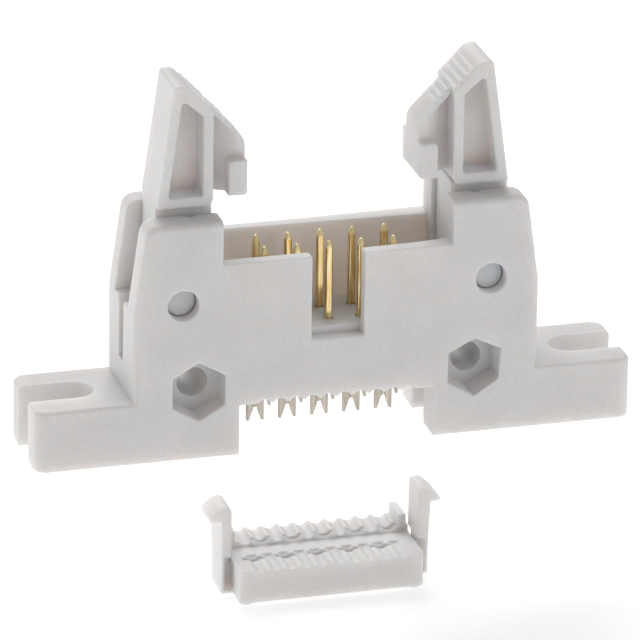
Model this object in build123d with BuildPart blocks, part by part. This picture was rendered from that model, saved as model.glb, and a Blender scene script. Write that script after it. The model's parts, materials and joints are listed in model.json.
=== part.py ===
"""Shrouded pin header with two swing latches, cable-mounting ears and a clip-on cable cover.

Units are millimetres. X runs along the contact rows, Y runs through the thickness with the
keyed front face towards -Y, and Z points up. The origin is the middle of the mounting plane,
the underside of the two feet.
"""
import os
from math import atan, atan2, cos, degrees, hypot, sin, tan

from build123d import *

os.makedirs("parts", exist_ok=True)

# Contacts
pitch = 2.54
columns = 5
pin_side = 0.56
pin_length = 6.25
pin_tip_length = 0.6
pin_tip_side = 0.26
strip_thickness = 0.4
tine_width = 1.39
tine_reach = 2.5
tine_gap = 0.24
tine_mouth = 0.96
tine_mouth_depth = 1.15
tine_slot_depth = 2.9
contact_shoulder = 3.5
contact_fit = 0.03

# Housing along Z, from the feet up
foot_height = 4.05
body_floor = 5.4
shroud_height = 6.18
tower_rise = 3.47
ear_height = 4.9

# Housing along X, from the middle outwards
end_space = 3.92
tower_length = 6.95
tower_lean = 1.0
tower_corner = 1.1
ear_length = 7.63
ear_corner = 1.0
ear_round = 0.35
edge_round = 0.5

# Housing through Y
housing_depth = 8.2
shroud_wall = 1.1
tower_wall = 2.1
notch_width = 4.1
notch_drop = 0.6

# Latch slots in the towers
pivot_inset = 3.1
pivot_drop = 6.54
pivot_hole_radius = 1.21
hub_space = 2.15
ledge_drop = 7.1
relief_width = 1.4
relief_length = 2.2
relief_depth = 4.9
detent_inset = 2.2
detent_radius = 0.45
detent_depth = 0.8

# Fixing features
nut_across_flats = 4.1
nut_depth = 2.2
nut_hole_radius = 1.2
nut_inset = 5.1
nut_height = 5.45
ear_slot_width = 3.2
ear_slot_length = 5.48

# Latches
slot_clearance = 0.1
pin_clearance = 0.06
trunnion_recess = 1.0
latch_inset = 0.4
latch_thickness = 4.8
web_thickness = 0.8
arm_thickness = 3.2
ramp_foot = 1.9
eave = 0.35
flange = 0.8
pocket_corner = 0.25
pocket_rim = 0.15
lip_round = 0.6
lip_gap = 0.7
lip_setback = 1.15
hook_gap = 1.35
hook_overhang = 2.25
hook_width = 1.45
hook_height = 2.8
hook_round = 0.25
block_corner = 0.4
nose_height = 4.17
apex_height = 9.05
apex_setback = 3.45
apex_width = 0.9
apex_round = 0.4
crest_round = 1.0
nose_round = 1.3
grip_count = 7
grip_spacing = 0.62
grip_radius = 0.22
grip_rise = 0.12
grip_rim = 0.3
grip_start = 1.0
hub_radius = 1.95
toe_height = 0.8
toe_reach = 0.7
toe_clearance = 0.2

# Cable cover
cover_rest_drop = 12.75
cover_closed_lift = 0.5
cover_depth = 7.2
cover_end_space = 1.635
cover_side_gap = 0.31
cover_front_height = 2.75
cover_back_step = 0.5
cover_step_y = 0.95
row_depth = 3.0
wire_radius = 0.62
wire_sink = 0.3
front_wire_sink = 0.2
arm_width = 2.9
arm_gap = 0.12
cover_arm_thickness = 0.83
cover_arm_height = 7.2
hook_nose = 0.95
hook_underside = 6.1
hook_lip = 0.25
hook_crown = 0.4
hook_shoulder = 0.8
arm_slit_depth = 0.4
root_recess = 0.8
root_skin = 0.25
root_height = 3.0
root_floor = 0.3
post_width = 0.65
post_rise = 0.9
post_setback = 0.15
cover_foot_radius = 0.5
cover_foot_height = 0.2
cover_round = 0.3
cover_fit = 0.15
pocket_fit = 0.08
flex_space = 0.5

# Places that follow from the sizes above
wire_pitch = pitch / 2
wires = 2 * columns
half_rows = (columns - 1) * pitch / 2
half_depth = housing_depth / 2
underside_z = foot_height
cavity_floor_z = underside_z + body_floor
shroud_top_z = cavity_floor_z + shroud_height
tower_top_z = shroud_top_z + tower_rise
cavity_half_x = half_rows + end_space
cavity_half_y = half_depth - shroud_wall
tower_outer_x = cavity_half_x + tower_length
tower_top_x = tower_outer_x - tower_lean
ear_end_x = tower_outer_x + ear_length
slot_half = half_depth - tower_wall
pivot_x = cavity_half_x + pivot_inset
pivot_z = tower_top_z - pivot_drop
ledge_z = tower_top_z - ledge_drop
hub_wall_x = pivot_x + hub_space
nut_x = tower_outer_x - nut_inset
detent_x = cavity_half_x + detent_inset
pin_tip_z = cavity_floor_z + pin_length
tine_tip_z = underside_z - tine_reach
shoulder_z = underside_z + contact_shoulder
wire_x = [(i - (wires - 1) / 2) * wire_pitch for i in range(wires)]
outer_wire_x = wire_x[-1]
cover_half = outer_wire_x + cover_end_space
foot_inner_x = cover_half + cover_side_gap
arm_inner_x = cover_half + arm_gap
arm_outer_x = arm_inner_x + cover_arm_thickness
hook_tip_x = arm_outer_x + hook_nose
hook_lean = atan2(cover_arm_height - hook_underside - hook_lip, hook_nose)
arm_slot_outer_x = hook_tip_x + cover_fit
arm_slot_inner_x = arm_inner_x - flex_space
arm_slot_top_z = cover_closed_lift + cover_arm_height + cover_fit
arm_slot_half = arm_width / 2 + cover_fit / 2
cover_back_height = cover_front_height + cover_back_step
post_inner_x = cover_half - post_setback - post_width
post_top = cover_back_height + post_rise
hex_rotation = 30


def both_sides(x):
    """The place x and its mirror image across the middle."""
    return (-x, x)


# Housing: feet with ears, body, open shroud and the two latch towers, one moulding
with BuildPart() as housing:
    with BuildSketch(Plane.XZ) as front_view:
        with BuildLine():
            Polyline(
                (0, underside_z),
                (foot_inner_x, underside_z),
                (foot_inner_x, 0),
                (ear_end_x, 0),
                (ear_end_x, ear_height),
                (tower_outer_x, ear_height),
                (tower_outer_x, ledge_z),
                (tower_top_x, tower_top_z),
                (cavity_half_x, tower_top_z),
                (cavity_half_x, shroud_top_z),
                (0, shroud_top_z),
            )
            mirror(about=Plane.YZ)
        make_face()
        tower_corners = front_view.vertices().filter_by_position(Axis.Y, tower_top_z - 0.01, tower_top_z + 0.01)
        fillet(tower_corners.filter_by(lambda v: abs(v.X) > pivot_x), radius=tower_corner)
    extrude(amount=half_depth, both=True)
    upright = housing.edges().filter_by(Axis.Z)
    fillet(upright.filter_by(lambda e: abs(e.center().X) > ear_end_x - 0.01), radius=ear_corner)
    ear_tops = housing.edges().filter_by_position(Axis.Z, ear_height - 0.01, ear_height + 0.01)
    fillet(ear_tops.filter_by(lambda e: abs(e.center().X) > ear_end_x - 0.01), radius=ear_round)
    # Outer upright edges of the towers, straight below the lean
    fillet(
        housing.edges().filter_by(
            lambda e: abs(e.center().X) > tower_top_x
            and abs(e.center().Y) > half_depth - 0.01
            and abs(e.tangent_at(0.5).Z) > 0.9
            and e.center().Z > ear_height
        ),
        radius=edge_round,
    )
    # Cavity for the mating plug, with its key notch in the front wall
    with BuildSketch(Plane.XY.offset(cavity_floor_z)):
        Rectangle(2 * cavity_half_x, 2 * cavity_half_y)
    extrude(amount=tower_top_z - cavity_floor_z, mode=Mode.SUBTRACT)
    with BuildSketch(Plane.XY.offset(cavity_floor_z - notch_drop)):
        with Locations((0, -half_depth)):
            Rectangle(notch_width, 2 * shroud_wall)
    extrude(amount=tower_top_z - cavity_floor_z + notch_drop, mode=Mode.SUBTRACT)
    # Latch slots, open to the cavity, the top and the outer end
    with BuildSketch(Plane.XZ):
        with BuildLine():
            Polyline(
                (cavity_half_x, cavity_floor_z),
                (hub_wall_x, cavity_floor_z),
                (hub_wall_x, ledge_z),
                (ear_end_x, ledge_z),
                (ear_end_x, tower_top_z),
                (cavity_half_x, tower_top_z),
                close=True,
            )
        make_face()
        mirror(about=Plane.YZ)
    extrude(amount=slot_half, both=True, mode=Mode.SUBTRACT)
    # Narrow relief slots below the ledges, which let the tower walls spring
    with BuildSketch(Plane.XZ):
        with Locations(*[(x, ledge_z - relief_depth / 2) for x in both_sides(tower_outer_x - relief_length / 2)]):
            Rectangle(relief_length, relief_depth)
    extrude(amount=relief_width / 2, both=True, mode=Mode.SUBTRACT)
    # Dimples in the top edges of the slots, where the latches click upright
    with BuildSketch(Plane.XY.offset(tower_top_z)):
        with Locations(*[(x, y) for x in both_sides(detent_x) for y in both_sides(slot_half)]):
            Circle(detent_radius)
    extrude(amount=-detent_depth, mode=Mode.SUBTRACT)
    # Pivot holes for the latch trunnions and through holes behind the nut pockets
    with BuildSketch(Plane.XZ):
        with Locations(*[(x, pivot_z) for x in both_sides(pivot_x)]):
            Circle(pivot_hole_radius)
        with Locations(*[(x, nut_height) for x in both_sides(nut_x)]):
            Circle(nut_hole_radius)
    extrude(amount=half_depth, both=True, mode=Mode.SUBTRACT)
    with BuildSketch(Plane.XZ.offset(half_depth)):
        with Locations(*[(x, nut_height) for x in both_sides(nut_x)]):
            RegularPolygon(nut_across_flats / 2, 6, major_radius=False, rotation=hex_rotation)
    extrude(amount=-nut_depth, mode=Mode.SUBTRACT)
    # Screw slots, open at the ends of the ears
    with BuildSketch(Plane.XY):
        with Locations(*[(x, 0) for x in both_sides(ear_end_x - ear_slot_length / 2 + ear_slot_width / 4)]):
            Rectangle(ear_slot_length - ear_slot_width / 2, ear_slot_width)
        with Locations(*[(x, 0) for x in both_sides(ear_end_x - ear_slot_length + ear_slot_width / 2)]):
            Circle(ear_slot_width / 2)
    extrude(amount=ear_height, mode=Mode.SUBTRACT)
    # Channels in the feet for the arms of the cover
    with BuildSketch(Plane.XY):
        with Locations(*[(x, 0) for x in both_sides((arm_slot_inner_x + arm_slot_outer_x) / 2)]):
            Rectangle(arm_slot_outer_x - arm_slot_inner_x, 2 * arm_slot_half)
    extrude(amount=arm_slot_top_z, mode=Mode.SUBTRACT)
    # Recesses in the underside for the end posts of the cover
    with BuildSketch(Plane.XY.offset(underside_z)):
        with Locations(*[(x, (cover_step_y + cover_depth / 2) / 2) for x in both_sides(post_inner_x + post_width / 2)]):
            Rectangle(post_width + 2 * cover_fit, cover_depth / 2 - cover_step_y + 2 * cover_fit)
    extrude(amount=cover_closed_lift + post_top + cover_fit - underside_z, mode=Mode.SUBTRACT)
    # One scoop across the underside for each wire of the flat cable
    with BuildSketch(Plane.XZ):
        with Locations(*[(x, underside_z - wire_radius + wire_sink) for x in wire_x]):
            Circle(wire_radius)
    extrude(amount=half_depth, both=True, mode=Mode.SUBTRACT)
    # Seats of the contacts: a flat slot from below and a square hole up to the cavity
    for row_side in (-1, 1):
        for column in range(columns):
            pin_x = column * pitch - half_rows
            strip_left = min(pin_x - pin_side / 2, pin_x + row_side * wire_pitch / 2 - tine_width / 2)
            strip_right = max(pin_x + pin_side / 2, pin_x + row_side * wire_pitch / 2 + tine_width / 2)
            with BuildSketch(Plane.XY.offset(underside_z - wire_radius)):
                with Locations(((strip_left + strip_right) / 2, row_side * pitch / 2)):
                    Rectangle(strip_right - strip_left + 2 * contact_fit, strip_thickness + 2 * contact_fit)
            extrude(amount=shoulder_z + contact_fit - underside_z + wire_radius, mode=Mode.SUBTRACT)
            with BuildSketch(Plane.XY.offset(shoulder_z)):
                with Locations((pin_x, row_side * pitch / 2)):
                    Rectangle(pin_side + 2 * contact_fit, pin_side + 2 * contact_fit)
            extrude(amount=cavity_floor_z - shoulder_z, mode=Mode.SUBTRACT)
housing.part.label = "housing"
export_step(housing.part, "parts/housing.step")


# Contacts: a square pin above, a stamped shoulder in the floor and a two-pronged cable tine below
tip_taper = degrees(atan((pin_side - pin_tip_side) / 2 / pin_tip_length))
contact_number = 0
for row_side in (-1, 1):
    for column in range(columns):
        contact_number += 1
        pin_x = column * pitch - half_rows
        row_y = row_side * pitch / 2
        tine_x = pin_x + row_side * wire_pitch / 2
        strip_left = min(pin_x - pin_side / 2, tine_x - tine_width / 2)
        strip_right = max(pin_x + pin_side / 2, tine_x + tine_width / 2)
        with BuildPart() as contact:
            with BuildSketch(Plane.XZ.offset(-row_y)):
                with BuildLine():
                    Polyline(
                        (tine_x - tine_width / 2, tine_tip_z),
                        (tine_x - tine_mouth / 2, tine_tip_z),
                        (tine_x - tine_gap / 2, tine_tip_z + tine_mouth_depth),
                        (tine_x - tine_gap / 2, tine_tip_z + tine_slot_depth),
                        (tine_x + tine_gap / 2, tine_tip_z + tine_slot_depth),
                        (tine_x + tine_gap / 2, tine_tip_z + tine_mouth_depth),
                        (tine_x + tine_mouth / 2, tine_tip_z),
                        (tine_x + tine_width / 2, tine_tip_z),
                        (tine_x + tine_width / 2, underside_z),
                        (strip_right, underside_z + wire_radius),
                        (strip_right, shoulder_z),
                        (strip_left, shoulder_z),
                        (strip_left, underside_z + wire_radius),
                        (tine_x - tine_width / 2, underside_z),
                        close=True,
                    )
                make_face()
            extrude(amount=strip_thickness / 2, both=True)
            with BuildSketch(Plane.XY.offset(shoulder_z)):
                with Locations((pin_x, row_y)):
                    Rectangle(pin_side, pin_side)
            extrude(amount=pin_tip_z - pin_tip_length - shoulder_z)
            with BuildSketch(Plane.XY.offset(pin_tip_z - pin_tip_length)):
                with Locations((pin_x, row_y)):
                    Rectangle(pin_side, pin_side)
            extrude(amount=pin_tip_length, taper=tip_taper)
        contact.part.label = f"contact_{contact_number:02d}"
        export_step(contact.part, f"parts/contact_{contact_number:02d}.step")


# Latches: a handle with ridged thumb slope, hook and pockets, a neck in the tower slot,
# a hub with two trunnions and a toe that lifts the mating plug
lip_z = tower_top_z + lip_gap
hook_z = tower_top_z + hook_gap
apex_z = hook_z + apex_height
nose_x = cavity_half_x - hook_overhang
nose_z = hook_z + nose_height
latch_inner_x = cavity_half_x + latch_inset
lip_outer_x = tower_top_x - lip_setback
apex_outer_x = cavity_half_x + apex_setback
apex_inner_x = apex_outer_x - apex_width
slope = atan2(apex_z - nose_z, apex_inner_x - nose_x)
slope_length = hypot(apex_z - nose_z, apex_inner_x - nose_x)
band_drop = flange / cos(slope)
slope_rate = (apex_z - nose_z) / (apex_inner_x - nose_x)
grip_sink = grip_radius - grip_rise
outer_rate = (lip_outer_x - apex_outer_x) / (apex_z - lip_z)
pocket_floor_z = lip_z + flange
hook_inner_x = nose_x + hook_width
hook_top_z = hook_z + hook_height
neck_half = slot_half - slot_clearance
trunnion_end = half_depth - trunnion_recess
toe_z = cavity_floor_z + toe_clearance
toe_tip_x = cavity_half_x - toe_reach


def band_z(x):
    """Height of the underside of the sloping band at x."""
    return apex_z + (x - apex_inner_x) * slope_rate - band_drop


def eave_z(x):
    """Height at x of the thin edge that the slope keeps over the arm's recess."""
    return apex_z + (x - apex_inner_x) * slope_rate - eave


def outer_flange_x(z):
    """Inner face of the outer flange at height z."""
    return apex_outer_x + (apex_z - z) * outer_rate - flange


with BuildPart() as right_latch:
    # Handle, full thickness
    with BuildSketch(Plane.XZ) as handle:
        with BuildLine():
            Polyline(
                (latch_inner_x, lip_z),
                (lip_outer_x, lip_z),
                (apex_outer_x, apex_z),
                (apex_inner_x, apex_z),
                (nose_x, nose_z),
                (nose_x, hook_z),
                (latch_inner_x, hook_z),
                close=True,
            )
        make_face()
        rounds = {
            (apex_outer_x, apex_z): apex_round,
            (apex_inner_x, apex_z): crest_round,
            (nose_x, nose_z): nose_round,
            (nose_x, hook_z): hook_round,
            (latch_inner_x, lip_z): lip_round,
        }
        for corner, corner_radius in rounds.items():
            fillet(handle.vertices().sort_by_distance(corner)[0], radius=corner_radius)
    extrude(amount=latch_thickness / 2, both=True)
    # Arm with the hook: a ramp leads from the thin web beside the flange up to the arm's face,
    # and only the hook block keeps the full thickness
    with BuildPart(mode=Mode.PRIVATE) as arm_relief:
        for side in (-1, 1):
            with BuildSketch(Plane.XY.offset(hook_z)):
                with BuildLine():
                    Polyline(
                        (latch_inner_x, side * web_thickness / 2),
                        (latch_inner_x - ramp_foot, side * arm_thickness / 2),
                        (nose_x, side * arm_thickness / 2),
                        (nose_x, side * latch_thickness / 2),
                        (latch_inner_x, side * latch_thickness / 2),
                        close=True,
                    )
                make_face()
            extrude(amount=apex_z - hook_z)
        with BuildSketch(Plane.XZ):
            with BuildLine():
                Polyline(
                    (nose_x, hook_z),
                    (hook_inner_x, hook_z),
                    (hook_inner_x, hook_top_z),
                    (nose_x, hook_top_z),
                    close=True,
                )
            block = make_face()
            fillet(block.vertices().sort_by_distance((hook_inner_x, hook_top_z))[0], radius=block_corner)
        extrude(amount=latch_thickness / 2, both=True, mode=Mode.SUBTRACT)
        with BuildSketch(Plane.XZ):
            with BuildLine():
                Polyline(
                    (nose_x, eave_z(nose_x)),
                    (latch_inner_x, eave_z(latch_inner_x)),
                    (latch_inner_x, apex_z),
                    (nose_x, apex_z),
                    close=True,
                )
            make_face()
        extrude(amount=arm_thickness / 2, both=True, mode=Mode.SUBTRACT)
    add(arm_relief.part, mode=Mode.SUBTRACT)
    # Pocket between the two flanges, on both sides of the web
    for side in (-1, 1):
        with BuildSketch(Plane.XZ.offset(side * latch_thickness / 2)) as pocket:
            with BuildLine():
                Polyline(
                    (latch_inner_x + flange, pocket_floor_z),
                    (outer_flange_x(pocket_floor_z), pocket_floor_z),
                    (outer_flange_x(band_z(apex_inner_x)), band_z(apex_inner_x)),
                    (latch_inner_x + flange, band_z(latch_inner_x + flange)),
                    close=True,
                )
            make_face()
            fillet(pocket.vertices(), radius=pocket_corner)
        extrude(amount=-side * (latch_thickness - web_thickness) / 2, mode=Mode.SUBTRACT)
    fillet(
        right_latch.edges().filter_by(
            lambda e: abs(abs(e.center().Y) - latch_thickness / 2) < 0.01
            and latch_inner_x + flange / 2 < e.center().X < outer_flange_x(e.center().Z) + flange / 2
            and pocket_floor_z - flange / 2 < e.center().Z < band_z(e.center().X) + band_drop / 2
        ),
        radius=pocket_rim,
    )
    # Rounded ribs across the thumb slope, ending a little short of the faces
    for i in range(grip_count):
        along_slope = slope_length - grip_start - i * grip_spacing
        grip_x = nose_x + along_slope * cos(slope) + grip_sink * sin(slope)
        grip_z = nose_z + along_slope * sin(slope) - grip_sink * cos(slope)
        face_thickness = latch_thickness if grip_x > latch_inner_x else arm_thickness
        with BuildSketch(Plane.XZ):
            with Locations((grip_x, grip_z)):
                Circle(grip_radius)
        extrude(amount=face_thickness / 2 - grip_rim, both=True)
    # Neck, hub and toe inside the tower slot
    with BuildSketch(Plane.XZ):
        with BuildLine():
            Polyline(
                (latch_inner_x, lip_z),
                (latch_inner_x, toe_z + 2 * toe_height),
                (toe_tip_x, toe_z + toe_height),
                (toe_tip_x, toe_z),
                (pivot_x, pivot_z - hub_radius),
                (pivot_x, pivot_z),
                (pivot_x + hub_radius, pivot_z),
                (lip_outer_x, lip_z),
                close=True,
            )
        make_face()
        with Locations((pivot_x, pivot_z)):
            Circle(hub_radius)
    extrude(amount=neck_half, both=True)
    # Trunnions
    with BuildSketch(Plane.XZ):
        with Locations((pivot_x, pivot_z)):
            Circle(pivot_hole_radius - pin_clearance)
    extrude(amount=trunnion_end, both=True)
right_latch.part.label = "right_latch"
export_step(right_latch.part, "parts/right_latch.step")

with BuildPart() as left_latch:
    mirror(right_latch.part, about=Plane.YZ)
left_latch.part.label = "left_latch"
export_step(left_latch.part, "parts/left_latch.step")


# Cover: clamps the flat cable on the tines; shown taken off, straight below its seat
cover_bottom_z = -cover_rest_drop
cover_pocket_z = tine_tip_z - cover_closed_lift - cover_fit
with BuildPart() as cover:
    with BuildSketch(Plane.YZ) as cover_section:
        with BuildLine():
            Polyline(
                (-cover_depth / 2, cover_bottom_z),
                (cover_depth / 2, cover_bottom_z),
                (cover_depth / 2, cover_bottom_z + cover_back_height),
                (cover_step_y, cover_bottom_z + cover_back_height),
                (cover_step_y, cover_bottom_z + cover_front_height),
                (-cover_depth / 2, cover_bottom_z + cover_front_height),
                close=True,
            )
        make_face()
    extrude(amount=cover_half, both=True)
    fillet(
        cover.edges().filter_by(Axis.Z).filter_by(lambda e: abs(e.center().Y) > cover_depth / 2 - 0.01),
        radius=cover_round,
    )
    # Scoops for the wires, front row and back row
    with BuildSketch(Plane.XZ.offset(-cover_step_y)):
        with Locations(*[(x, cover_bottom_z + cover_back_height + wire_radius - wire_sink) for x in wire_x]):
            Circle(wire_radius)
    extrude(amount=-cover_depth, mode=Mode.SUBTRACT)
    with BuildSketch(Plane.XZ.offset(cover_depth / 2 - row_depth)):
        with Locations(*[(x, cover_bottom_z + cover_front_height + wire_radius - front_wire_sink) for x in wire_x]):
            Circle(wire_radius)
    extrude(amount=row_depth, mode=Mode.SUBTRACT)
    # End posts beside the outer wires
    with BuildSketch(Plane.XY.offset(cover_bottom_z + cover_front_height)):
        with Locations(*[(x, (cover_step_y + cover_depth / 2) / 2) for x in both_sides(post_inner_x + post_width / 2)]):
            Rectangle(post_width, cover_depth / 2 - cover_step_y)
    extrude(amount=post_top - cover_front_height)
    # Arms with their hooks
    with BuildSketch(Plane.XZ) as arm_view:
        with BuildLine():
            Polyline(
                (cover_half - cover_round, cover_bottom_z),
                (arm_outer_x, cover_bottom_z),
                (arm_outer_x, cover_bottom_z + hook_underside),
                (hook_tip_x, cover_bottom_z + hook_underside),
                (hook_tip_x, cover_bottom_z + hook_underside + hook_lip),
                (arm_outer_x, cover_bottom_z + cover_arm_height),
                (arm_inner_x, cover_bottom_z + cover_arm_height),
                (arm_inner_x, cover_bottom_z + cover_front_height - arm_slit_depth),
                (cover_half - cover_round, cover_bottom_z + cover_front_height - arm_slit_depth),
                close=True,
            )
        make_face()
        arm_top_z = cover_bottom_z + cover_arm_height
        shoulder_room = (cover_arm_thickness - hook_crown) / tan(hook_lean / 2)
        shoulder_round = min(hook_shoulder, 0.95 * shoulder_room)
        fillet(arm_view.vertices().sort_by_distance((arm_outer_x, arm_top_z))[0], radius=shoulder_round)
        fillet(arm_view.vertices().sort_by_distance((arm_inner_x, arm_top_z))[0], radius=hook_crown)
        mirror(about=Plane.YZ)
    extrude(amount=arm_width / 2, both=True)
    # Moulding recesses at the roots of the arms
    for side in (-1, 1):
        with BuildSketch(Plane.XZ.offset(side * arm_width / 2)):
            with Locations(
                *[
                    (x, cover_bottom_z + (root_floor + root_height) / 2)
                    for x in both_sides((cover_half + arm_outer_x - root_skin) / 2)
                ]
            ):
                Rectangle(arm_outer_x - root_skin - cover_half, root_height - root_floor)
        extrude(amount=-side * root_recess, mode=Mode.SUBTRACT)
    # Pockets for the tines
    for row_side in (-1, 1):
        with BuildSketch(Plane.XY.offset(cover_bottom_z + cover_pocket_z)):
            with Locations(
                *[
                    (column * pitch - half_rows + row_side * wire_pitch / 2, row_side * pitch / 2)
                    for column in range(columns)
                ]
            ):
                Rectangle(tine_width + 2 * pocket_fit, strip_thickness + 2 * pocket_fit)
        extrude(amount=cover_back_height, mode=Mode.SUBTRACT)
    # Small feet at the corners
    with BuildSketch(Plane.XY.offset(cover_bottom_z)):
        with GridLocations(
            2 * (cover_half - cover_foot_radius - cover_fit),
            cover_depth - 2 * cover_foot_radius - 2 * cover_fit,
            2,
            2,
        ):
            Circle(cover_foot_radius)
    extrude(amount=-cover_foot_height)
cover.part.label = "cover"
export_step(cover.part, "parts/cover.step")
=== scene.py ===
# %% [markdown]
# # Shrouded pin header: looks
#
# The object is a grey cable-mount header: a moulded housing with an open shroud, two swing
# latches, ten gold-plated contacts and a small cover that has been taken off. The shapes come
# from the fixed frame. This lesson adds the camera, the light, the soft edges that every
# moulding has, and the finishes of plastic, gold and tin.

# %% Load the fixed frame
import json
import math

import bmesh
import bpy
from mathutils import Matrix, Vector
from mathutils.kdtree import KDTree

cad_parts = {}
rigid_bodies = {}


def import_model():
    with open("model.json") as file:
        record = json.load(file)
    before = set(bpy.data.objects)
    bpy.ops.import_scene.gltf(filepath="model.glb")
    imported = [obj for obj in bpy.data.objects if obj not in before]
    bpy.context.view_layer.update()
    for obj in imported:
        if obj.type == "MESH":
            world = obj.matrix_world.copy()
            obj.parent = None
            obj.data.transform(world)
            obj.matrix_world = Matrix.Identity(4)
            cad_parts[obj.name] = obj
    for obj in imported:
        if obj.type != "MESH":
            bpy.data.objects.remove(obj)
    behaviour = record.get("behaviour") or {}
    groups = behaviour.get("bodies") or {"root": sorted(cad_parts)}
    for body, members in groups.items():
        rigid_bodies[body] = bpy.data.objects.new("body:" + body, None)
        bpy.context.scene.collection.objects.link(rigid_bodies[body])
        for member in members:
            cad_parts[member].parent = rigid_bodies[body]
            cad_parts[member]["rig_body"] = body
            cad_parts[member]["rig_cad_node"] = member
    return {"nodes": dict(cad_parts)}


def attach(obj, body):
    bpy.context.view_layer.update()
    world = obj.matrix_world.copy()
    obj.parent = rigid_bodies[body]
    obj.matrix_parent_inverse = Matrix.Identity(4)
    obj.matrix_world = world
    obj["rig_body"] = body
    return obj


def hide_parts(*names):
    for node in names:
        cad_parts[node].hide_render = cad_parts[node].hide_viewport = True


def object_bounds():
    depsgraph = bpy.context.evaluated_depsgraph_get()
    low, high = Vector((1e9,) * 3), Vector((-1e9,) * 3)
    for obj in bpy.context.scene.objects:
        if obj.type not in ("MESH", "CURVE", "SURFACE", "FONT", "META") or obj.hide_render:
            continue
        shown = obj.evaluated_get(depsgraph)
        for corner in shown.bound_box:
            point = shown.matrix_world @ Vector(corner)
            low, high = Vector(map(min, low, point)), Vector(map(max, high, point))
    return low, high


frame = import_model()
MM = 0.001
cad_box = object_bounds()
print("frame box in mm:", [[round(c / MM, 2) for c in corner] for corner in cad_box])

# %% [markdown]
# ## Where the camera stands
#
# The picture is 640 pixels square. The view was found by matching known sizes, such as the
# 2.54 mm pin pitch, with the picture: a long lens a little to the left of the object and above
# it. A camera looks along its own -Z axis, so its three axes are worked out first and put into
# its matrix as columns. That also takes in the small tilt of the picture.

# %% Camera
CAMERA_AZIMUTH = math.radians(-16.0)
CAMERA_ELEVATION = math.radians(21.9)
CAMERA_ROLL = math.radians(0.81)
CAMERA_DISTANCE = 515 * MM
CLIP_START = 10 * MM
CLIP_END = 10
IMAGE_PIXELS = 640
PIXELS_PER_MM = 13.10
SENSOR_MM = 36.0
AIM_HEIGHT = 10.2 * MM
AIM_RIGHT = -0.27 * MM
AIM_UP = -1.38 * MM

level_back = Vector((math.sin(CAMERA_AZIMUTH), -math.cos(CAMERA_AZIMUTH), 0))
back = level_back * math.cos(CAMERA_ELEVATION) + Vector((0, 0, math.sin(CAMERA_ELEVATION)))
level_right = Vector((math.cos(CAMERA_AZIMUTH), math.sin(CAMERA_AZIMUTH), 0))
level_up = back.cross(level_right)
right = level_right * math.cos(CAMERA_ROLL) + level_up * math.sin(CAMERA_ROLL)
up = level_up * math.cos(CAMERA_ROLL) - level_right * math.sin(CAMERA_ROLL)
aim = Vector((0, 0, AIM_HEIGHT)) + right * AIM_RIGHT + up * AIM_UP

bpy.ops.object.camera_add()
camera = bpy.context.object
camera.name = "camera"
camera.data.sensor_width = SENSOR_MM
camera.data.lens = PIXELS_PER_MM * CAMERA_DISTANCE / MM / IMAGE_PIXELS * SENSOR_MM
camera.data.clip_start = CLIP_START
camera.data.clip_end = CLIP_END
camera_matrix = Matrix((right, up, back)).transposed().to_4x4()
camera_matrix.translation = aim + back * CAMERA_DISTANCE
camera.matrix_world = camera_matrix
bpy.context.scene.camera = camera
print("lens in mm:", round(camera.data.lens, 1))

# %% [markdown]
# ## Shader maths as Python
#
# Procedural finishes are sums and products of a few patterns. Written with bare nodes they get
# long, so a small class wraps a socket and gives it the operators + - and *. One method makes
# any other node from its type, its settings and its sockets.

# %% Node helpers
class Value:
    """A socket of a material's node tree that can be used in sums."""

    def __init__(self, material, socket):
        self.material = material
        self.socket = socket

    def _math(self, operation, first, second):
        settings = {"operation": operation}
        node = self.material.node("ShaderNodeMath", settings, {0: first, 1: second})
        return Value(self.material, node.outputs[0])

    def __add__(self, other):
        return self._math("ADD", self, other)

    def __sub__(self, other):
        return self._math("SUBTRACT", self, other)

    def __rsub__(self, other):
        return self._math("SUBTRACT", other, self)

    def __mul__(self, other):
        return self._math("MULTIPLY", self, other)


class Finish:
    """A material that is built node by node around one Principled shader."""

    def __init__(self, name):
        self.material = bpy.data.materials.new(name)
        self.material.use_nodes = True
        self.tree = self.material.node_tree
        self.shader = next(n for n in self.tree.nodes if n.type == "BSDF_PRINCIPLED")
        self.place = self.node("ShaderNodeTexCoord").outputs["Object"]

    def node(self, kind, settings=None, inputs=None):
        made = self.tree.nodes.new(kind)
        for name, setting in (settings or {}).items():
            setattr(made, name, setting)
        for key, given in (inputs or {}).items():
            self.set(made.inputs[key], given)
        return made

    def set(self, socket, given):
        if isinstance(given, Value):
            given = given.socket
        if isinstance(given, bpy.types.NodeSocket):
            self.tree.links.new(given, socket)
        elif socket.type == "RGBA" and len(given) == 3:
            socket.default_value = (*given, 1)
        else:
            socket.default_value = given

    def noise(self, scale, detail=2.0, roughness=0.5, stretch=(1, 1, 1)):
        place = self.node("ShaderNodeMapping", None, {"Vector": self.place, "Scale": stretch})
        made = self.node(
            "ShaderNodeTexNoise",
            {"noise_dimensions": "3D"},
            {"Vector": place.outputs[0], "Scale": scale, "Detail": detail, "Roughness": roughness},
        )
        return Value(self, made.outputs[0])

    def blend(self, factor, first, second):
        # The Mix node has sockets for every data type; 6 and 7 in, 2 out are its colours.
        made = self.node("ShaderNodeMix", {"data_type": "RGBA"}, {0: factor, 6: first, 7: second})
        return made.outputs[2]

    def clamp(self, value, low=0.0, high=1.0):
        made = self.node("ShaderNodeClamp", None, {0: value, 1: low, 2: high})
        return Value(self, made.outputs[0])

    def bump(self, height, strength, distance):
        inputs = {"Height": height, "Strength": strength, "Distance": distance}
        made = self.node("ShaderNodeBump", None, inputs)
        self.set(self.shader.inputs["Normal"], made.outputs[0])


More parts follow.
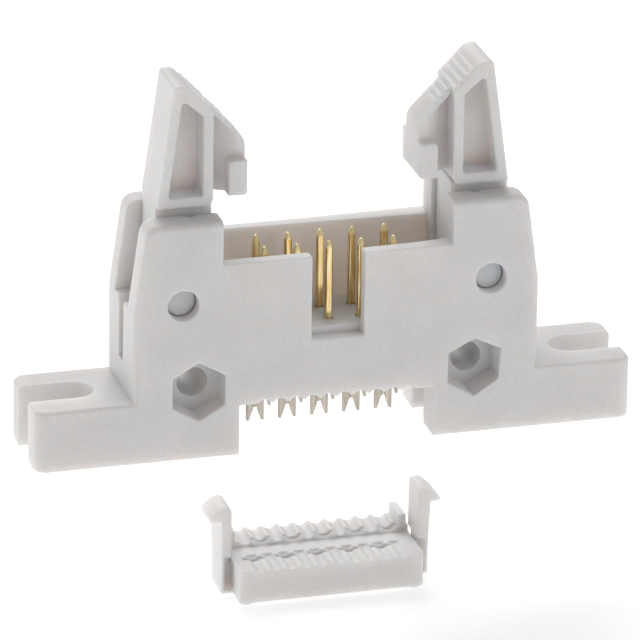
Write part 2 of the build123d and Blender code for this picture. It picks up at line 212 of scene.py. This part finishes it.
# %% [markdown]
# ## Grey moulded plastic
#
# The housing, latches and cover are glass-filled polyester: a matte light grey with a faint
# grain from the spark-eroded mould and very slight clouding in the colour. Two noises make it:
# a coarse one clouds the colour, and a fine one of about a twentieth of a millimetre gives the
# grain of colour, roughness and bump.
#
# Light also travels a millimetre or two inside this plastic before it comes out again, red
# light the furthest. That softens the shading and warms the hollows, so the hollows of the
# picture aren't grey but faintly brown.

# %% Plastic finishes
LIGHT_GREY = (0.81, 0.802, 0.80)
DARK_GREY = (0.725, 0.717, 0.715)
CLOUD_SCALE = 300
CLOUD_CONTRAST = 1.2
GRAIN_SCALE = 14000
GRAIN_CONTRAST = 3.2
GRAIN_ROUGHNESS = 0.3
GRAIN_BUMP = 0.35
GRAIN_DEPTH = 0.02 * MM
SHINE = 0.4
GLOW_SHARE = 0.75
GLOW_REACH = (1.0, 0.78, 0.64)
GLOW_DEPTH = 1.7 * MM


def moulded_plastic(name, roughness):
    finish = Finish(name)
    clouds = finish.noise(CLOUD_SCALE, detail=3)
    grain = finish.noise(GRAIN_SCALE)
    tone = finish.clamp((clouds - 0.5) * CLOUD_CONTRAST + (grain - 0.5) * GRAIN_CONTRAST + 0.5)
    finish.set(finish.shader.inputs["Base Color"], finish.blend(tone, DARK_GREY, LIGHT_GREY))
    dulled = finish.clamp((grain - 0.5) * GRAIN_ROUGHNESS + roughness)
    finish.set(finish.shader.inputs["Roughness"], dulled)
    finish.shader.inputs["Specular IOR Level"].default_value = SHINE
    finish.shader.inputs["Subsurface Weight"].default_value = GLOW_SHARE
    finish.shader.inputs["Subsurface Radius"].default_value = GLOW_REACH
    finish.shader.inputs["Subsurface Scale"].default_value = GLOW_DEPTH
    finish.bump(grain, GRAIN_BUMP, GRAIN_DEPTH)
    return finish.material


housing_plastic = moulded_plastic("housing plastic", roughness=0.52)
latch_plastic = moulded_plastic("latch plastic", roughness=0.50)
cover_plastic = moulded_plastic("cover plastic", roughness=0.50)

# %% [markdown]
# ## Contacts: gold above, tin below
#
# Each contact is one stamped strip of copper alloy. Its pin is gold-plated and its tine, which
# cuts into the cable, is left tin-plated. The height of a point on the strip says which of the
# two platings it has, so one mask on the Object coordinates mixes two metals. Drawn-out noise
# gives both of them lengthwise streaks. The tips of the pins are duller, and a painted highlight
# makes their gold paler.

# %% Contact finish
GOLD = (0.62, 0.36, 0.09)
GOLD_PALE = (1.0, 0.87, 0.50)
TIN = (0.66, 0.61, 0.54)
TIN_DARK = (0.46, 0.41, 0.35)
PLATING_HEIGHT = 6.6 * MM
PLATING_BLUR = 0.3 * MM
# Above this height the pin tips get a painted highlight: their gold is painted paler.
TIP_HEIGHT = 15.1 * MM
TIP_BLUR = 0.12 * MM
STREAK_SCALE = 6000
STREAK_STRETCH = (1, 1, 0.06)
STREAK_CONTRAST = 3.2
STREAK_BUMP = 0.2
STREAK_DEPTH = 0.01 * MM
METAL_ROUGHNESS = 0.12
STREAK_ROUGHNESS = 0.1
TIN_ROUGHNESS = 0.2
TIP_ROUGHNESS = 0.3


def contact_plating():
    finish = Finish("contact plating")
    parts = finish.node("ShaderNodeSeparateXYZ", None, {0: finish.place})
    height = Value(finish, parts.outputs[2])
    is_gold = finish.clamp((height - PLATING_HEIGHT) * (1 / PLATING_BLUR))
    drawn_out = finish.noise(STREAK_SCALE, detail=3, stretch=STREAK_STRETCH)
    streaks = finish.clamp((drawn_out - 0.5) * STREAK_CONTRAST + 0.5)
    # Painted highlight: the pin tips are painted paler gold, and the same mask also makes them
    # duller.
    tip_highlight_mask = finish.clamp((height - TIP_HEIGHT) * (1 / TIP_BLUR))
    gold = finish.blend(finish.clamp(streaks + tip_highlight_mask), GOLD, GOLD_PALE)
    tin = finish.blend(streaks, TIN_DARK, TIN)
    finish.set(finish.shader.inputs["Base Color"], finish.blend(is_gold, tin, gold))
    duller = (1 - is_gold) * TIN_ROUGHNESS + tip_highlight_mask * TIP_ROUGHNESS + streaks * STREAK_ROUGHNESS
    finish.set(finish.shader.inputs["Roughness"], finish.clamp(duller + METAL_ROUGHNESS))
    finish.shader.inputs["Metallic"].default_value = 1.0
    finish.bump(streaks, STREAK_BUMP, STREAK_DEPTH)
    return finish.material


contact_metal = contact_plating()

# %% [markdown]
# ## Softened edges
#
# The frame's solids have their main rounds, but every edge of a real moulding is broken a
# little, and those tiny rounds catch the light. One bevel width for all edges would not do:
# what suits a tower would swallow a thumb rib or the narrow land between two wire scoops. So
# the sharp edges are taken in runs that end where three or more of them meet, and every run
# is given its own share of the full width, from the least room beside it.
#
# The room is found as a maker would with calipers: from three places on the edge, walk across
# each of its two faces, straight away from the edge, until the face ends. A join between two
# flat faces in one plane is stepped over. If the far side is another edge that gets a bevel,
# the two share the room.

# %% Room beside an edge
FLAT_ANGLE = math.radians(0.5)
EDGE_ANGLE = math.radians(30)
NOTHING = 1e-9
MOST_FACES = 20


def is_sharp(edge):
    return len(edge.link_faces) == 2 and edge.calc_face_angle(0) > EDGE_ANGLE


def way_across(start, direction, face, skip):
    """The nearest edge of the face that the walk meets, and how far away it is."""
    normal = face.normal
    side = normal.cross(direction)
    best = (None, math.inf)
    for edge in face.edges:
        if edge in skip:
            continue
        a, b = (vertex.co - start for vertex in edge.verts)
        a_side, b_side = a.dot(side), b.dot(side)
        if a_side * b_side > 0 or abs(a_side - b_side) < NOTHING:
            continue
        share = a_side / (a_side - b_side)
        reach = (a + (b - a) * share).dot(direction)
        if NOTHING < reach < best[1]:
            best = (edge, reach)
    return best


def room_beside(edge, face, start):
    """The way from a place on the edge across the face and the flat faces behind it."""
    along = (edge.verts[1].co - edge.verts[0].co).normalized()
    direction = face.normal.cross(along)
    if direction.dot(face.calc_center_median() - start) < 0:
        direction = -direction
    walked = 0
    skip = {edge}
    for _ in range(MOST_FACES):
        met, reach = way_across(start, direction, face, skip)
        if met is None:
            return walked
        walked += reach
        others = [f for f in met.link_faces if f is not face]
        if is_sharp(met):
            return walked / 2
        if not others or met.calc_face_angle(0) > FLAT_ANGLE:
            return walked
        start = start + direction * reach
        face = others[0]
        skip = {met}
    return walked


# %% [markdown]
# ## Soft-edged copies of the mouldings
#
# Each piece is copied, the copy's loose triangles are merged and its flat areas joined. The
# shares are stored as the mesh's bevel weights, which the Bevel modifier reads. Where many small
# edges meet, rounds can still run into each other and fold a face over. Such flaws are looked
# for, the shares of the runs beside them are cut, and the bevel is tried again.
#
# Last, the normals at the corners of each face are led by the largest faces around, so that
# flat faces stay flat to the light and only the small rounds between them shade smoothly. The
# copy then stands for the plain solid.

# %% Soften a piece
MERGE_DISTANCE = 0.001 * MM
SOFT_EDGE = 0.13 * MM
ROOM_USED = 0.9
BEVEL_SEGMENTS = 3
PLACES_ALONG = (0.25, 0.5, 0.75)
FOLD_ANGLE = math.radians(110)
FOLD_LENGTH = 0.15 * MM
SPECK = 0.0005 * MM**2
FLAW_TRIES = 8
LEAST_SHARE = 0.3
FLAW_CUT = 0.6
FLAW_REACH = 0.2 * MM
SAME_ROUND = math.cos(math.radians(50))


def plain_copy(source, name):
    """A copy of one of the frame's solids with its triangles joined into whole faces."""
    bpy.ops.object.select_all(action="DESELECT")
    source.select_set(True)
    bpy.context.view_layer.objects.active = source
    bpy.ops.object.duplicate()
    piece = bpy.context.object
    piece.name = name
    piece.parent = None
    piece.matrix_world = Matrix.Identity(4)
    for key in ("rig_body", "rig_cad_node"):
        if key in piece:
            del piece[key]
    bpy.ops.object.mode_set(mode="EDIT")
    bpy.ops.mesh.select_all(action="SELECT")
    bpy.ops.mesh.remove_doubles(threshold=MERGE_DISTANCE)
    bpy.ops.mesh.dissolve_limited(angle_limit=FLAT_ANGLE)
    bpy.ops.object.mode_set(mode="OBJECT")
    return piece


def edge_share(edge, width):
    """Share of the full bevel width that the room beside an edge allows."""
    first, last = (vertex.co for vertex in edge.verts)
    rooms = [
        room_beside(edge, face, first.lerp(last, place))
        for face in edge.link_faces
        for place in PLACES_ALONG
    ]
    return min(1, ROOM_USED * min(rooms) / width)


def edge_runs(shape):
    """Sharp edges in runs that end where three or more of them meet."""
    left = {edge.index for edge in shape.edges if is_sharp(edge)}
    sharp = set(left)
    runs = []
    while left:
        run = [left.pop()]
        for index in run:
            for vertex in shape.edges[index].verts:
                linked = [edge.index for edge in vertex.link_edges if edge.index in sharp]
                if len(linked) == 2:
                    run += [other for other in linked if other in left]
                    left -= set(linked)
        runs.append(run)
    return runs


def flaws(piece):
    """Corners of folds, and of faces that can no longer be cut into triangles."""
    bevelled = piece.evaluated_get(bpy.context.evaluated_depsgraph_get())
    mesh = bevelled.to_mesh()
    mesh.calc_loop_triangles()
    places = []
    for triangle in mesh.loop_triangles:
        whole = mesh.polygons[triangle.polygon_index]
        if triangle.area > SPECK and triangle.normal.dot(whole.normal) < 0:
            places += [mesh.vertices[index].co.copy() for index in triangle.vertices]
    shape = bmesh.new()
    shape.from_mesh(mesh)
    for edge in shape.edges:
        folded = len(edge.link_faces) == 2 and edge.calc_face_angle(0) > FOLD_ANGLE
        if folded and edge.calc_length() > FOLD_LENGTH:
            places += [vertex.co.copy() for vertex in edge.verts]
    shape.free()
    bevelled.to_mesh_clear()
    return places


def edges_by(shape, places):
    """Edges that meet at a corner near one of the places."""
    tree = KDTree(len(shape.verts))
    for vertex in shape.verts:
        tree.insert(vertex.co, vertex.index)
    tree.balance()
    found = [index for place in places for _, index, _ in tree.find_range(place, FLAW_REACH)]
    return {edge.index for index in found for edge in shape.verts[index].link_edges}


def flat_to_light(mesh):
    """Corner normals led by the largest faces that belong to the same round."""
    around = [[] for vertex in mesh.vertices]
    for face in mesh.polygons:
        for vertex in face.vertices:
            around[vertex].append((face.normal.copy(), (face.area / MM**2) ** 2))
    normals = [None] * len(mesh.loops)
    for face in mesh.polygons:
        for corner, vertex in zip(face.loop_indices, face.vertices):
            led = Vector()
            for normal, weight in around[vertex]:
                if normal.dot(face.normal) > SAME_ROUND:
                    led += normal * weight
            normals[corner] = led.normalized()
    mesh.normals_split_custom_set(normals)


def soften(node, name, body, material, width=SOFT_EDGE):
    """Bevel a copy of a solid as far as its room allows, and put it in the solid's place."""
    piece = plain_copy(frame["nodes"][node], name)
    bevel = piece.modifiers.new("soft edges", "BEVEL")
    bevel.width = width
    bevel.segments = BEVEL_SEGMENTS
    bevel.limit_method = "WEIGHT"
    bevel.use_clamp_overlap = False
    shape = bmesh.new()
    shape.from_mesh(piece.data)
    shape.verts.ensure_lookup_table()
    shape.edges.ensure_lookup_table()
    weight = shape.edges.layers.float.new("bevel_weight_edge")
    runs = edge_runs(shape)
    shares = [min(edge_share(shape.edges[index], width) for index in run) for run in runs]
    for _ in range(FLAW_TRIES):
        for run, share in zip(runs, shares):
            for index in run:
                shape.edges[index][weight] = share if share > LEAST_SHARE else 0
        shape.to_mesh(piece.data)
        piece.data.update()
        places = flaws(piece)
        if not places:
            break
        beside = edges_by(shape, places)
        shares = [
            share if beside.isdisjoint(run) else share * FLAW_CUT
            for run, share in zip(runs, shares)
        ]
    shape.free()
    bpy.ops.object.modifier_apply(modifier=bevel.name)
    bpy.ops.object.shade_smooth()
    flat_to_light(piece.data)
    piece.data.materials.clear()
    piece.data.materials.append(material)
    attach(piece, body)
    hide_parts(node)
    print(name, "faces:", len(piece.data.polygons), "flaws left:", len(places))


MOULDINGS = (
    ("housing", "header", "housing_plastic", housing_plastic),
    ("left_latch", "left_latch", "latch_plastic", latch_plastic),
    ("right_latch", "right_latch", "latch_plastic", latch_plastic),
    ("cover", "cover", "cover_plastic", cover_plastic),
)
for node, body, slot, material in MOULDINGS:
    soften(node, node + "_moulding", body, material)

# %% Soften the contacts
STAMPED_EDGE = 0.15 * MM
CONTACTS = 10
for number in range(1, CONTACTS + 1):
    node = f"contact_{number:02d}"
    soften(node, node + "_stamping", "header", contact_metal, STAMPED_EDGE)

# %% [markdown]
# ## Studio
#
# The picture was taken on bright white with broad, even light. The light is strongest on the
# faces that look up and to the left, and the front is a calm middle grey. A large plane under
# the cover's feet is the floor, the world is a dim white, and four soft disks give the shape
# its gentle modelling: one from the right front, one from the left, one from above the back
# and a weak one from above the front.

# %% Floor, world and lights
FLOOR_GAP = 0.02 * MM
FLOOR_SIZE = 4.0
PAPER_TONES = (0.93, 0.93, 0.93), (0.95, 0.95, 0.95)
PAPER_GRAIN = 40
PAPER_ROUGHNESS = 0.9
PAPER_GLOW = 0.44
WORLD_GLOW = 0.14
floor_height = cad_box[0][2] - FLOOR_GAP
bpy.ops.mesh.primitive_plane_add(size=FLOOR_SIZE, location=(0, 0, floor_height))
floor = bpy.context.object
floor.name = "floor"
paper = Finish("white paper")
paper_grain = paper.noise(PAPER_GRAIN)
paper.set(paper.shader.inputs["Base Color"], paper.blend(paper_grain, *PAPER_TONES))
paper.shader.inputs["Roughness"].default_value = PAPER_ROUGHNESS
paper.shader.inputs["Emission Color"].default_value = (1, 1, 1, 1)
paper.shader.inputs["Emission Strength"].default_value = PAPER_GLOW
floor.data.materials.append(paper.material)

world = bpy.data.worlds.new("white studio")
bpy.context.scene.world = world
world.use_nodes = True
background = world.node_tree.nodes["Background"]
background.inputs["Color"].default_value = (1, 1, 1, 1)
background.inputs["Strength"].default_value = WORLD_GLOW


def soft_light(name, place, size, power):
    bpy.ops.object.light_add(type="AREA", location=place)
    light = bpy.context.object
    light.name = name
    light.data.shape = "DISK"
    light.data.size = size
    light.data.energy = power
    light.rotation_euler = (aim - Vector(place)).to_track_quat("-Z", "Y").to_euler()


# Each light: name, place, width of the disk, all in metres, and power in watts.
LIGHTS = (
    ("key_light", (0.35, -0.40, 0.35), 0.5, 0.8),
    ("side_light", (-0.60, 0.25, 0.10), 0.5, 1.35),
    ("top_light", (0.0, 0.45, 0.45), 0.6, 2.7),
    ("front_light", (-0.10, -0.45, 0.55), 0.6, 0.4),
)
for name, place, size, power in LIGHTS:
    soft_light(name, place, size, power)
bpy.context.scene.view_settings.view_transform = "Standard"
